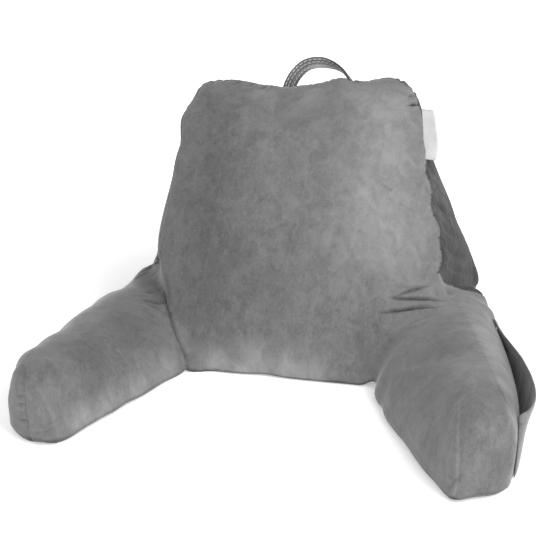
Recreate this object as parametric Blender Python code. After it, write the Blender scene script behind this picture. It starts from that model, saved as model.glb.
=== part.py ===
"""A reading pillow with arms: a stuffed back and arms, side pockets, a carry handle and a label.

Metres, +Z up, standing on the floor. The reader sits between the arms and faces -Y. The sizes
below are measured from the middle of the seat's front edge on the floor, and the last step moves
the whole pillow over the origin.
"""

import math
from collections import namedtuple

import bmesh
import bpy
from mathutils import Vector

# ---- gaps and cloth

SEWN_GAP = 0.0006
POCKET_CLOTH = 0.0024
POCKET_HEM = 0.0040
LABEL_TAPE = 0.0008

# ---- the back: one row for each height of its outline, seam corner to seam corner

BackRow = namedtuple(
    "BackRow", "height front_half sway front_y rear_half rear_y front_crown side_crown rear_crown"
)
BACK_ROWS = (
    BackRow(0.000, 0.150, 0.000, 0.012, 0.300, 0.350, 0.000, 0.002, 0.000),
    BackRow(0.014, 0.166, 0.001, 0.010, 0.324, 0.364, 0.002, 0.004, 0.004),
    BackRow(0.050, 0.190, 0.004, 0.032, 0.358, 0.378, 0.008, 0.007, 0.012),
    BackRow(0.095, 0.215, 0.006, 0.060, 0.355, 0.388, 0.015, 0.009, 0.018),
    BackRow(0.140, 0.242, 0.008, 0.094, 0.335, 0.394, 0.021, 0.010, 0.022),
    BackRow(0.178, 0.262, 0.010, 0.124, 0.313, 0.398, 0.026, 0.010, 0.024),
    BackRow(0.225, 0.260, 0.008, 0.158, 0.287, 0.402, 0.030, 0.010, 0.024),
    BackRow(0.285, 0.247, 0.002, 0.200, 0.259, 0.405, 0.031, 0.010, 0.022),
    BackRow(0.340, 0.236, -0.003, 0.239, 0.239, 0.406, 0.027, 0.009, 0.019),
    BackRow(0.390, 0.230, -0.004, 0.275, 0.224, 0.403, 0.020, 0.008, 0.014),
    BackRow(0.428, 0.222, -0.003, 0.303, 0.211, 0.398, 0.013, 0.006, 0.010),
    BackRow(0.448, 0.208, 0.000, 0.322, 0.198, 0.388, 0.008, 0.004, 0.008),
)
BACK_ROW_STEPS = 3
PANEL_STEPS = 22
SIDE_STEPS = 8
CROWN_FLATNESS = 4
REAR_CORNER_PASSES = 2
REAR_CORNER_REACH = 2

TopRing = namedtuple("TopRing", "scale lift")
TOP_RINGS = (
    TopRing(0.96, 0.004),
    TopRing(0.86, 0.007),
    TopRing(0.70, 0.009),
    TopRing(0.48, 0.011),
    TopRing(0.24, 0.012),
)
TOP_CENTRE_LIFT = 0.012

# Where the stuffed top rises and dips across the back, left to right.
Lump = namedtuple("Lump", "x lift width")
TOP_LUMPS = (
    Lump(-0.135, -0.002, 0.045),
    Lump(-0.045, -0.007, 0.035),
    Lump(0.050, 0.002, 0.035),
    Lump(0.150, 0.009, 0.050),
)
LUMPS_START_HEIGHT = 0.330

# ---- the arms: one row for each section from inside the back to the end seam

ArmRow = namedtuple("ArmRow", "inner_x inner_y outer_x outer_y height ridge_lean roundness")
ARM_ROWS = (
    ArmRow(0.160, 0.235, 0.305, 0.350, 0.084, 0.15, 2.2),
    ArmRow(0.170, 0.100, 0.352, 0.293, 0.107, 0.18, 2.2),
    ArmRow(0.178, -0.004, 0.378, 0.200, 0.123, 0.26, 2.2),
    ArmRow(0.199, -0.076, 0.394, 0.098, 0.132, 0.34, 2.2),
    ArmRow(0.226, -0.145, 0.405, -0.005, 0.141, 0.32, 2.2),
    ArmRow(0.257, -0.209, 0.410, -0.112, 0.150, 0.25, 2.3),
    ArmRow(0.286, -0.260, 0.407, -0.190, 0.153, 0.15, 2.5),
    ArmRow(0.305, -0.281, 0.400, -0.228, 0.147, 0.05, 2.8),
)
ARM_ROW_STEPS = 5
ARM_AROUND = 48
ARM_MID_HEIGHT = 0.042
ARM_SINK = 0.020
ARM_FOOT_ROUNDNESS = 3.4
SKIN_STEP = 0.02

# How each arm lies in the photo: how far it reaches forward, how full it stands and how its pocket gapes.
ArmPose = namedtuple("ArmPose", "side forward fullness pocket_bulge pocket_peak")
ARM_POSES = {
    "right": ArmPose(1, 1.00, 1.03, 0.024, 2.0),
    "left": ArmPose(-1, 0.92, 0.87, 0.014, 1.0),
}

CapRing = namedtuple("CapRing", "scale reach")
CAP_RINGS = (
    CapRing(0.965, 0.007),
    CapRing(0.88, 0.015),
    CapRing(0.72, 0.021),
    CapRing(0.48, 0.025),
    CapRing(0.24, 0.027),
)
CAP_CENTRE_REACH = 0.028

# ---- the side pockets, patched onto the arms' outer faces

POCKET_FIRST_ROW = 12
POCKET_LAST_ROW = 33
POCKET_LOW = 3
POCKET_HIGH = 4
POCKET_HEM_ROWS = 2
POCKET_END_RISE = 0.7
POCKET_DOWN_FALL = 2.0

# ---- the carry handle on the top rear seam: one row for each point along the strap

HandleRow = namedtuple("HandleRow", "x rise back turn")
HANDLE_ROWS = (
    HandleRow(-0.056, -0.022, 0.000, -50),
    HandleRow(-0.053, 0.006, 0.000, -50),
    HandleRow(-0.040, 0.032, 0.003, -52),
    HandleRow(-0.016, 0.052, 0.007, -56),
    HandleRow(0.016, 0.057, 0.009, -54),
    HandleRow(0.044, 0.047, 0.008, -28),
    HandleRow(0.062, 0.027, 0.005, 0),
    HandleRow(0.073, 0.004, 0.001, 10),
    HandleRow(0.078, -0.022, 0.000, 12),
)
HANDLE_ROW_STEPS = 4
HANDLE_CENTRE_X = 0.010
HANDLE_BASE_Y = 0.376
HANDLE_BASE_HEIGHT = 0.436
HANDLE_WIDTH = 0.030
HANDLE_THICKNESS = 0.005
HANDLE_ACROSS = 6
HANDLE_CORNER = 0.6
HANDLE_LOOK = 0.05

# ---- the bare label, a tape folded in half and sewn into the front side seam

LABEL_TOP_HEIGHT = 0.420
LABEL_LENGTH = 0.068
LABEL_REACH = 0.019
LABEL_SUNK = 0.010
LABEL_CURL = 0.004
LABEL_TURN = 20
LABEL_STEPS = 10
LABEL_LAYER_GAP = 0.0010
SEARCH_HALVINGS = 30

VELOUR_GREY = (0.235, 0.235, 0.237, 1.0)
LABEL_WHITE = (0.80, 0.80, 0.79, 1.0)


# ---- small helpers

def blend(rows, at):
    """Row of a table at a fractional place, on a smooth curve through the rows."""
    first = min(int(at), len(rows) - 2)
    t = at - first
    before = rows[max(first - 1, 0)]
    after = rows[min(first + 2, len(rows) - 1)]
    values = []
    for p0, p1, p2, p3 in zip(before, rows[first], rows[first + 1], after):
        bend = 2 * p0 - 5 * p1 + 4 * p2 - p3
        twist = 3 * p1 - p0 - 3 * p2 + p3
        values.append(p1 + 0.5 * t * (p2 - p0 + t * (bend + t * twist)))
    return type(rows[0])(*values)


def signed_power(value, power):
    return math.copysign(abs(value) ** power, value)


def material(name, colour, roughness):
    made = bpy.data.materials.new(name)
    made.use_nodes = True
    shader = made.node_tree.nodes["Principled BSDF"]
    shader.inputs["Base Color"].default_value = colour
    shader.inputs["Roughness"].default_value = roughness
    shader.inputs["Metallic"].default_value = 0.0
    made.diffuse_color = colour
    return made


def add_object(name, bm, finish):
    """Object of a closed mesh, facing out, in triangles so that a copy swelled outward stays clear."""
    bmesh.ops.recalc_face_normals(bm, faces=bm.faces)
    bmesh.ops.triangulate(bm, faces=bm.faces)
    mesh = bpy.data.meshes.new(name)
    bm.to_mesh(mesh)
    bm.free()
    mesh.shade_smooth()
    mesh.materials.append(finish)
    made = bpy.data.objects.new(name, mesh)
    bpy.context.scene.collection.objects.link(made)
    return made


def skin_rings(bm, rings):
    """Quads between closed rings of points, with the rings' vertices returned."""
    made = [[bm.verts.new(point) for point in ring] for ring in rings]
    for low, high in zip(made, made[1:]):
        count = len(low)
        for i in range(count):
            bm.faces.new((low[i], low[(i + 1) % count], high[(i + 1) % count], high[i]))
    return made


def close_to_point(bm, ring, point):
    centre = bm.verts.new(point)
    for i in range(len(ring)):
        bm.faces.new((ring[i], ring[(i + 1) % len(ring)], centre))


def on_side(point, word):
    """A point of the right arm carried to the arm named, with that arm's own reach and fullness."""
    pose = ARM_POSES[word]
    forward = pose.forward if point.y < 0 else 1.0
    return Vector((point.x * pose.side, point.y * forward, point.z * pose.fullness))


# ---- the back

def bulged_edge(start, end, crown, steps):
    """Points from start up to, not including, end, bulged to the right of that direction by crown."""
    along = end - start
    outward = Vector((along.y, -along.x)).normalized()
    points = []
    for i in range(steps):
        t = i / steps
        swell = 1 - (2 * t - 1) ** CROWN_FLATNESS
        points.append(start + along * t + outward * crown * swell)
    return points


def eased(points, corners):
    """The closed outline with the corners named rounded off, points drawn towards their neighbours."""
    for _ in range(REAR_CORNER_PASSES):
        drawn = list(points)
        for corner in corners:
            for i in range(corner - REAR_CORNER_REACH, corner + REAR_CORNER_REACH + 1):
                drawn[i] = (points[i - 1] + 2 * points[i] + points[i + 1]) / 4
        points = drawn
    return points


def back_outline(row):
    """Outline of the back at one height: front, right side, rear, left side."""
    front_left = Vector((row.sway - row.front_half, row.front_y))
    front_right = Vector((row.sway + row.front_half, row.front_y))
    rear_right = Vector((row.sway + row.rear_half, row.rear_y))
    rear_left = Vector((row.sway - row.rear_half, row.rear_y))
    sharp = (
        bulged_edge(front_left, front_right, row.front_crown, PANEL_STEPS)
        + bulged_edge(front_right, rear_right, row.side_crown, SIDE_STEPS)
        + bulged_edge(rear_right, rear_left, row.rear_crown, PANEL_STEPS)
        + bulged_edge(rear_left, front_left, row.side_crown, SIDE_STEPS)
    )
    return eased(sharp, (PANEL_STEPS + SIDE_STEPS, 2 * PANEL_STEPS + SIDE_STEPS))


def lump_lift(x):
    return sum(lump.lift * math.exp(-(((x - lump.x) / lump.width) ** 2)) for lump in TOP_LUMPS)


def lumpy(point):
    """The point with the top's rises and dips, which fade out down the panel."""
    share = (point.z - LUMPS_START_HEIGHT) / (BACK_ROWS[-1].height - LUMPS_START_HEIGHT)
    share = max(0.0, min(1.0, share))
    return Vector((point.x, point.y, point.z + share * share * lump_lift(point.x)))


def back_mesh():
    rings = []
    steps = (len(BACK_ROWS) - 1) * BACK_ROW_STEPS
    for i in range(steps + 1):
        row = blend(BACK_ROWS, i / BACK_ROW_STEPS)
        rings.append([lumpy(Vector((p.x, p.y, row.height))) for p in back_outline(row)])
    top = BACK_ROWS[-1]
    middle_y = (top.front_y + top.rear_y) / 2
    for ring in TOP_RINGS:
        outline = []
        for p in back_outline(top):
            x = p.x * ring.scale
            y = middle_y + (p.y - middle_y) * ring.scale
            outline.append(lumpy(Vector((x, y, top.height + ring.lift))))
        rings.append(outline)
    bm = bmesh.new()
    made = skin_rings(bm, rings)
    bm.faces.new(reversed(made[0]))
    close_to_point(bm, made[-1], lumpy(Vector((0.0, middle_y, top.height + TOP_CENTRE_LIFT))))
    return bm


def back_cutter(finish):
    """The back, a sewn gap larger all round, to trim whatever is sewn onto it."""
    bm = back_mesh()
    bmesh.ops.recalc_face_normals(bm, faces=bm.faces)
    bm.normal_update()
    moves = [(vert, vert.normal.copy()) for vert in bm.verts]
    for vert, normal in moves:
        vert.co += normal * SEWN_GAP
    cutter = add_object("back_cutter", bm, finish)
    cutter.hide_render = True
    cutter.display_type = "WIRE"
    return cutter


def trim(target, cutter):
    cut = target.modifiers.new("Trim", "BOOLEAN")
    cut.operation = "DIFFERENCE"
    cut.solver = "EXACT"
    cut.object = cutter


# ---- the arms

def arm_point(at, around):
    """Point on the right arm's skin: at counts its rows, around turns from the outer side over the top."""
    row = blend(ARM_ROWS, at)
    inner = Vector((row.inner_x, row.inner_y))
    outer = Vector((row.outer_x, row.outer_y))
    centre = (inner + outer) / 2
    roundness = row.roundness if math.sin(around) > 0 else ARM_FOOT_ROUNDNESS
    across = signed_power(math.cos(around), 2 / roundness)
    up = signed_power(math.sin(around), 2 / roundness)
    if up > 0:
        height = ARM_MID_HEIGHT + up * (row.height - ARM_MID_HEIGHT)
        across += row.ridge_lean * up * (1 - across) / 2
    else:
        height = ARM_MID_HEIGHT + up * (ARM_MID_HEIGHT + ARM_SINK)
    plan = centre + (outer - inner) / 2 * across
    return Vector((plan.x, plan.y, max(height, 0.0)))


def arm_mesh(word):
    rings = []
    last = len(ARM_ROWS) - 1
    for i in range(last * ARM_ROW_STEPS + 1):
        ring = [arm_point(i / ARM_ROW_STEPS, 2 * math.pi * j / ARM_AROUND) for j in range(ARM_AROUND)]
        rings.append(ring)
    end = ARM_ROWS[-1]
    chord = Vector((end.outer_x - end.inner_x, end.outer_y - end.inner_y, 0.0)).normalized()
    forward = Vector((chord.y, -chord.x, 0.0))
    centre = Vector(((end.inner_x + end.outer_x) / 2, (end.inner_y + end.outer_y) / 2, end.height / 2))
    seam = rings[-1]
    for cap in CAP_RINGS:
        rings.append([centre + (point - centre) * cap.scale + forward * cap.reach for point in seam])
    bm = bmesh.new()
    made = skin_rings(bm, [[on_side(point, word) for point in ring] for ring in rings])
    bm.faces.new(made[0])
    close_to_point(bm, made[-1], on_side(centre + forward * CAP_CENTRE_REACH, word))
    return bm


# ---- the pockets

def pocket_place(row, turn, depth):
    """Point of the right pocket: row along the arm, turn around it and depth out of its skin."""
    at = row / ARM_ROW_STEPS
    around = 2 * math.pi * turn / ARM_AROUND
    along = arm_point(at + SKIN_STEP, around) - arm_point(at - SKIN_STEP, around)
    across = arm_point(at, around + SKIN_STEP) - arm_point(at, around - SKIN_STEP)
    outward = across.cross(along).normalized()
    if outward.x < 0:
        outward = -outward
    return arm_point(at, around) + outward * depth


def pocket_mesh(word):
    """A sheet with two faces, sewn down on three edges and standing off the arm at its rim."""
    pose = ARM_POSES[word]
    rows = POCKET_LAST_ROW - POCKET_FIRST_ROW
    turns = POCKET_LOW + POCKET_HIGH
    inner = []
    outer = []
    for i in range(rows + 1):
        gape = math.sin(math.pi * (i / rows) ** pose.pocket_peak)
        gape = max(gape, 0.0) ** POCKET_END_RISE * pose.pocket_bulge
        inner_line = []
        outer_line = []
        for j in range(turns + 1):
            off = SEWN_GAP + gape * (j / turns) ** POCKET_DOWN_FALL
            cloth = POCKET_HEM if j > turns - POCKET_HEM_ROWS else POCKET_CLOTH
            row = POCKET_FIRST_ROW + i
            turn = j - POCKET_LOW
            inner_line.append(on_side(pocket_place(row, turn, off), word))
            outer_line.append(on_side(pocket_place(row, turn, off + cloth), word))
        inner.append(inner_line)
        outer.append(outer_line)
    bm = bmesh.new()
    inside = [[bm.verts.new(point) for point in line] for line in inner]
    outside = [[bm.verts.new(point) for point in line] for line in outer]
    for i in range(rows):
        for j in range(turns):
            bm.faces.new((inside[i][j], inside[i][j + 1], inside[i + 1][j + 1], inside[i + 1][j]))
            bm.faces.new((outside[i][j], outside[i + 1][j], outside[i + 1][j + 1], outside[i][j + 1]))
    for i in range(rows):
        for j in (0, turns):
            bm.faces.new((inside[i][j], inside[i + 1][j], outside[i + 1][j], outside[i][j]))
    for j in range(turns):
        for i in (0, rows):
            bm.faces.new((inside[i][j], inside[i][j + 1], outside[i][j + 1], outside[i][j]))
    return bm


# ---- the handle

def handle_centre(at):
    row = blend(HANDLE_ROWS, at)
    x = HANDLE_CENTRE_X + row.x
    y = HANDLE_BASE_Y + row.back
    return Vector((x, y, HANDLE_BASE_HEIGHT + row.rise))


def handle_mesh():
    """The strap: a flat rounded section along the rows, turned about its own line."""
    rings = []
    last = len(HANDLE_ROWS) - 1
    for i in range(last * HANDLE_ROW_STEPS + 1):
        at = i / HANDLE_ROW_STEPS
        ahead = handle_centre(min(at + HANDLE_LOOK, last))
        behind = handle_centre(max(at - HANDLE_LOOK, 0))
        tangent = (ahead - behind).normalized()
        away = tangent.cross(Vector((0.0, 1.0, 0.0))).normalized()
        level = away.cross(tangent)
        turn = math.radians(blend(HANDLE_ROWS, at).turn)
        wide = level * math.cos(turn) + away * math.sin(turn)
        thick = tangent.cross(wide).normalized()
        ring = []
        for j in range(2 * HANDLE_ACROSS):
            angle = math.pi * (j + 0.5) / HANDLE_ACROSS
            u = signed_power(math.cos(angle), HANDLE_CORNER) * HANDLE_WIDTH / 2
            v = signed_power(math.sin(angle), HANDLE_CORNER) * HANDLE_THICKNESS / 2
            ring.append(handle_centre(at) + wide * u + thick * v)
        rings.append(ring)
    bm = bmesh.new()
    made = skin_rings(bm, rings)
    bm.faces.new(made[0])
    bm.faces.new(made[-1])
    return bm


# ---- the label

def back_row_at_height(height):
    """Row of the back's outline at a height, found by halving."""
    low, high = 0.0, float(len(BACK_ROWS) - 1)
    for _ in range(SEARCH_HALVINGS):
        middle = (low + high) / 2
        if blend(BACK_ROWS, middle).height < height:
            low = middle
        else:
            high = middle
    return blend(BACK_ROWS, low)


def label_mesh():
    """Two layers of tape and the fold that joins them, standing out of the seam."""
    reach = LABEL_REACH + LABEL_SUNK
    half_gap = LABEL_LAYER_GAP / 2
    thick = LABEL_TAPE
    profile = (
        (0.0, half_gap),
        (reach - thick, half_gap),
        (reach - thick, -half_gap),
        (0.0, -half_gap),
        (0.0, -half_gap - thick),
        (reach, -half_gap - thick),
        (reach, half_gap + thick),
        (0.0, half_gap + thick),
    )
    turn = math.radians(LABEL_TURN)
    out = Vector((math.cos(turn), -math.sin(turn), 0.0))
    aside = Vector((-out.y, out.x, 0.0))
    rings = []
    for i in range(LABEL_STEPS + 1):
        t = i / LABEL_STEPS
        row = back_row_at_height(LABEL_TOP_HEIGHT - LABEL_LENGTH * t)
        seam = Vector((row.sway + row.front_half, row.front_y, row.height))
        curl = LABEL_CURL * math.sin(math.pi * t)
        start = seam - out * LABEL_SUNK
        rings.append([start + out * (u + curl * u / reach) + aside * v for u, v in profile])
    bm = bmesh.new()
    made = skin_rings(bm, rings)
    bm.faces.new(made[0])
    bm.faces.new(made[-1])
    return bm


def stand_over_origin(pieces, cutter):
    """Moves everything so that the middle of the pieces' outer box is over the origin."""
    bpy.context.view_layer.update()
    graph = bpy.context.evaluated_depsgraph_get()
    points = [vert.co.copy() for piece in pieces for vert in piece.evaluated_get(graph).data.vertices]
    move = Vector((0.0, 0.0, 0.0))
    for axis in (0, 1):
        values = [point[axis] for point in points]
        move[axis] = -(min(values) + max(values)) / 2
    for placed in pieces + [cutter]:
        placed.location = move


def main():
    for old in list(bpy.data.objects):
        bpy.data.objects.remove(old, do_unlink=True)
    velour = material("velour", VELOUR_GREY, 0.9)
    tape = material("label_tape", LABEL_WHITE, 0.7)
    cutter = back_cutter(velour)
    pieces = [add_object("back_cushion", back_mesh(), velour)]
    for word in ("right", "left"):
        arm = add_object("arm_" + word, arm_mesh(word), velour)
        trim(arm, cutter)
        pieces.append(arm)
        pieces.append(add_object("pocket_" + word, pocket_mesh(word), velour))
    handle = add_object("handle", handle_mesh(), velour)
    trim(handle, cutter)
    label = add_object("label", label_mesh(), tape)
    trim(label, cutter)
    pieces += [handle, label]
    stand_over_origin(pieces, cutter)


main()
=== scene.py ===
"""A reading pillow with arms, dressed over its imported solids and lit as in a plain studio."""

import math
import random

import bmesh
import bpy
import numpy as np
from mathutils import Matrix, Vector
from mathutils.bvhtree import BVHTree


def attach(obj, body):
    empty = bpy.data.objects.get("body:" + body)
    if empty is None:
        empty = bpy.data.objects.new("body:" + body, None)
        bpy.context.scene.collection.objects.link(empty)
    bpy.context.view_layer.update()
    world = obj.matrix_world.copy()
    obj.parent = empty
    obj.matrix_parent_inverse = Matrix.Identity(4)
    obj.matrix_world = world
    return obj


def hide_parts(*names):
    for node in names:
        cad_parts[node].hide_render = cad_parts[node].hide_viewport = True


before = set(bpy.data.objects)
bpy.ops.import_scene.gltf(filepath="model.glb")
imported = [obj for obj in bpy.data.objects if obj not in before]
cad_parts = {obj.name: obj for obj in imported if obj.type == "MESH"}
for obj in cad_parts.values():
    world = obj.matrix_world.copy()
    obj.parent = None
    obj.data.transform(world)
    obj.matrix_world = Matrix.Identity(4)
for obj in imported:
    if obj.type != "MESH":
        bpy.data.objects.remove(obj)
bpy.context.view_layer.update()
scene = bpy.context.scene

# ---- the camera
# It stands in front of the pillow, a little to its right, and looks down on it from a metre and a
# half away. The picture's middle lies a little off the lens's own.

LOOK_AT = Vector((-0.0051, -0.0675, 0.200))
LOOK_TURN = math.radians(10.77)
LOOK_DOWN = math.radians(24.8)
LOOK_DISTANCE = 1.519
LOOK_SHIFT = (-0.0031, 0.0102)
FOCAL_SHARE = 894 / 550
SENSOR_WIDTH = 36.0

camera = bpy.data.objects.new("camera", bpy.data.cameras.new("camera"))
scene.collection.objects.link(camera)
towards_camera = Vector(
    (
        math.sin(LOOK_TURN) * math.cos(LOOK_DOWN),
        -math.cos(LOOK_TURN) * math.cos(LOOK_DOWN),
        math.sin(LOOK_DOWN),
    )
)
camera.location = LOOK_AT + towards_camera * LOOK_DISTANCE
camera.rotation_euler = towards_camera.to_track_quat("Z", "Y").to_euler()
camera.data.sensor_width = SENSOR_WIDTH
camera.data.lens = FOCAL_SHARE * SENSOR_WIDTH
camera.data.shift_x, camera.data.shift_y = LOOK_SHIFT
scene.camera = camera

# ---- the cover
# One shell of short grey velour, sewn from a front panel, two side gussets, a rear panel and two
# arms with round end panels, and stuffed firmly with shredded foam. The seams draw the cloth in.

COVER_PARTS = ("back_cushion", "arm_right", "arm_left")
PARTS_OVERLAP = 0.0014
REMESH_SIZE = 0.0055
EASING_PASSES = 3
FLOOR_GRIP = 0.008
FOOT = 0.014
FOOT_FADE = 0.026
SEAM_GRIP = 0.006
FILL_PRESSURE = 4.0
FILL_FRAMES = 20
CLOTH_GROWTH = -0.002
CALMING_PASSES = 5
MOST_SWELL = 0.0070
START_SHRINK = 0.0028


class Seam:
    """A sewn line: its points, how far it draws in, how its puckers run, and the painted shade it lays along
    its groove (below 0, a painted highlight).
    """

    def __init__(self, points, depth, width, pucker, reach, every, shade=0.10):
        self.points = np.array(points, float)
        self.depth = depth
        self.width = width
        self.pucker = pucker
        self.reach = reach
        self.every = every
        self.shade = shade


FRONT_SEAM_RIGHT = (
    (0.192, -0.036, 0.050), (0.216, -0.008, 0.095), (0.245, 0.026, 0.140), (0.265, 0.056, 0.178),
    (0.263, 0.091, 0.225), (0.244, 0.132, 0.285), (0.228, 0.171, 0.340), (0.221, 0.208, 0.390),
    (0.216, 0.240, 0.428), (0.213, 0.262, 0.444), (0.204, 0.290, 0.453),
)
FRONT_SEAM_LEFT = (
    (-0.206, -0.014, 0.050), (-0.232, 0.010, 0.095), (-0.254, 0.043, 0.140), (-0.266, 0.074, 0.178),
    (-0.264, 0.109, 0.225), (-0.257, 0.151, 0.285), (-0.250, 0.190, 0.340), (-0.244, 0.226, 0.390),
    (-0.236, 0.254, 0.428), (-0.218, 0.285, 0.450), (-0.200, 0.306, 0.455),
)
TOP_SEAM = (
    (-0.212, 0.296, 0.452), (-0.198, 0.303, 0.456), (-0.165, 0.306, 0.458), (-0.131, 0.308, 0.458),
    (-0.095, 0.309, 0.458), (-0.059, 0.309, 0.455), (-0.020, 0.309, 0.456), (0.013, 0.309, 0.460),
    (0.085, 0.309, 0.463), (0.130, 0.308, 0.466), (0.165, 0.306, 0.467), (0.192, 0.298, 0.460),
    (0.206, 0.288, 0.450),
)
REAR_SEAM_RIGHT = (
    (0.357, 0.310, 0.050), (0.356, 0.321, 0.095), (0.338, 0.326, 0.140), (0.318, 0.331, 0.178),
    (0.290, 0.335, 0.225), (0.256, 0.338, 0.285), (0.231, 0.338, 0.340), (0.215, 0.336, 0.390),
    (0.203, 0.331, 0.428), (0.200, 0.306, 0.455),
)
REAR_SEAM_LEFT = (
    (-0.359, 0.310, 0.050), (-0.354, 0.321, 0.095), (-0.332, 0.326, 0.140), (-0.308, 0.331, 0.178),
    (-0.284, 0.335, 0.225), (-0.262, 0.338, 0.285), (-0.247, 0.338, 0.340), (-0.233, 0.336, 0.390),
    (-0.219, 0.331, 0.428), (-0.206, 0.306, 0.453),
)
ARM_BAND_RIGHT = (
    (0.300, 0.060, 0.128), (0.312, 0.016, 0.131), (0.331, -0.091, 0.141), (0.347, -0.189, 0.151),
    (0.359, -0.262, 0.156), (0.372, -0.300, 0.149), (0.392, -0.300, 0.105), (0.397, -0.296, 0.043),
)
ARM_BAND_LEFT = (
    (-0.332, 0.080, 0.102), (-0.351, -0.012, 0.109), (-0.366, -0.104, 0.117), (-0.377, -0.193, 0.124),
    (-0.382, -0.258, 0.127), (-0.382, -0.289, 0.123), (-0.397, -0.281, 0.090), (-0.405, -0.277, 0.037),
)
END_SEAM_RIGHT = (
    (0.302, -0.303, 0.136), (0.304, -0.328, 0.124), (0.306, -0.345, 0.105), (0.309, -0.353, 0.080),
    (0.310, -0.355, 0.045), (0.309, -0.352, 0.012),
)
END_SEAM_LEFT = (
    (-0.372, -0.295, 0.128), (-0.362, -0.303, 0.127), (-0.356, -0.314, 0.108), (-0.354, -0.322, 0.080),
    (-0.354, -0.324, 0.045), (-0.352, -0.316, 0.010),
)
JOINING_SEAM_LEFT = (
    (-0.240, 0.035, 0.106), (-0.229, 0.012, 0.093), (-0.217, -0.012, 0.082), (-0.203, -0.033, 0.067),
    (-0.190, -0.048, 0.045), (-0.183, -0.054, 0.010),
)
SIDE_SEAM_RIGHT = (
    (0.267, 0.066, 0.176), (0.272, 0.088, 0.151), (0.280, 0.112, 0.134), (0.296, 0.150, 0.114),
    (0.316, 0.163, 0.104), (0.338, 0.168, 0.096), (0.352, 0.185, 0.080), (0.358, 0.220, 0.070),
    (0.358, 0.280, 0.060),
)
SIDE_SEAM_LEFT = (
    (-0.259, 0.058, 0.178), (-0.268, 0.085, 0.140), (-0.284, 0.125, 0.118), (-0.310, 0.180, 0.106),
    (-0.340, 0.240, 0.098),
)

seams = (
    Seam(
        FRONT_SEAM_RIGHT[3:],
        depth=0.0018, width=0.0026, pucker=0.0018, reach=0.013, every=0.012, shade=-0.04,
    ),
    Seam(FRONT_SEAM_LEFT[3:], depth=0.0030, width=0.0035, pucker=0.0018, reach=0.018, every=0.013),
    Seam(TOP_SEAM, depth=0.0036, width=0.0035, pucker=0.0034, reach=0.015, every=0.012),
    Seam(REAR_SEAM_RIGHT, depth=0.0035, width=0.0035, pucker=0.0018, reach=0.020, every=0.014),
    Seam(REAR_SEAM_LEFT, depth=0.0035, width=0.0035, pucker=0.0018, reach=0.020, every=0.014),
    Seam(ARM_BAND_RIGHT, depth=0.0006, width=0.0030, pucker=0.0003, reach=0.012, every=0.016, shade=0.05),
    Seam(ARM_BAND_LEFT, depth=0.0006, width=0.0030, pucker=0.0003, reach=0.012, every=0.016, shade=0.03),
    Seam(END_SEAM_RIGHT, depth=0.0014, width=0.0026, pucker=0.0015, reach=0.010, every=0.009, shade=-0.22),
    Seam(END_SEAM_LEFT, depth=0.0018, width=0.0026, pucker=0.0020, reach=0.012, every=0.009, shade=0.06),
    Seam(JOINING_SEAM_LEFT, depth=0.0050, width=0.0026, pucker=0.0014, reach=0.014, every=0.012, shade=0.22),
    Seam(SIDE_SEAM_RIGHT, depth=0.0014, width=0.0026, pucker=0.0016, reach=0.012, every=0.010, shade=-0.24),
    Seam(SIDE_SEAM_LEFT, depth=0.0035, width=0.0030, pucker=0.0018, reach=0.020, every=0.009),
)


def merged_copy(node, swell):
    """A CAD node's mesh with its loose triangles merged, moved out along its normals."""
    copy = bmesh.new()
    copy.from_mesh(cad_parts[node].data)
    bmesh.ops.remove_doubles(copy, verts=copy.verts, dist=0.00001)
    copy.normal_update()
    moves = [(vert, vert.normal * swell) for vert in copy.verts]
    for vert, move in moves:
        vert.co += move
    mesh = bpy.data.meshes.new(node + "_copy")
    copy.to_mesh(mesh)
    copy.free()
    return mesh


def new_piece(name, mesh):
    piece = bpy.data.objects.new(name, mesh)
    scene.collection.objects.link(piece)
    return piece


def finished_mesh(piece):
    """The piece's mesh with its modifiers worked in."""
    bpy.context.view_layer.update()
    graph = bpy.context.evaluated_depsgraph_get()
    mesh = bpy.data.meshes.new_from_object(piece.evaluated_get(graph))
    piece.modifiers.clear()
    old = piece.data
    piece.data = mesh
    bpy.data.meshes.remove(old)
    return mesh


def points_of(mesh):
    points = np.empty(len(mesh.vertices) * 3)
    mesh.vertices.foreach_get("co", points)
    return points.reshape(-1, 3)


def normals_of(mesh):
    normals = np.empty(len(mesh.vertices) * 3)
    mesh.vertex_normals.foreach_get("vector", normals)
    return normals.reshape(-1, 3)


def set_points(mesh, points):
    mesh.vertices.foreach_set("co", np.ascontiguousarray(points, dtype=np.float32).ravel())
    mesh.update()


def read_off(at, marks, rows):
    """The rows' places at the lengths in at, each row lying at its mark."""
    return np.stack([np.interp(at, marks, rows[:, axis]) for axis in range(3)], axis=1)


def even_line(points, step):
    """The same line with points a step apart."""
    gaps = np.linalg.norm(np.diff(points, axis=0), axis=1)
    along = np.concatenate(([0.0], np.cumsum(gaps)))
    count = max(2, int(along[-1] / step) + 1)
    return read_off(np.linspace(0.0, along[-1], count), along, points)


def rounded_line(points, passes=2):
    """The line with its corners cut, so that it runs as a sewn curve does."""
    for _ in range(passes):
        cut = [points[0]]
        for a, b in zip(points, points[1:]):
            cut += [a * 0.75 + b * 0.25, a * 0.25 + b * 0.75]
        cut.append(points[-1])
        points = np.array(cut)
    return points


def laid_line(points, skin, step=0.003):
    """The line laid onto the cloth's skin."""
    line = even_line(rounded_line(np.array(points, float)), step)
    return np.array([skin.find_nearest(Vector(point))[0] for point in line])


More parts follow.
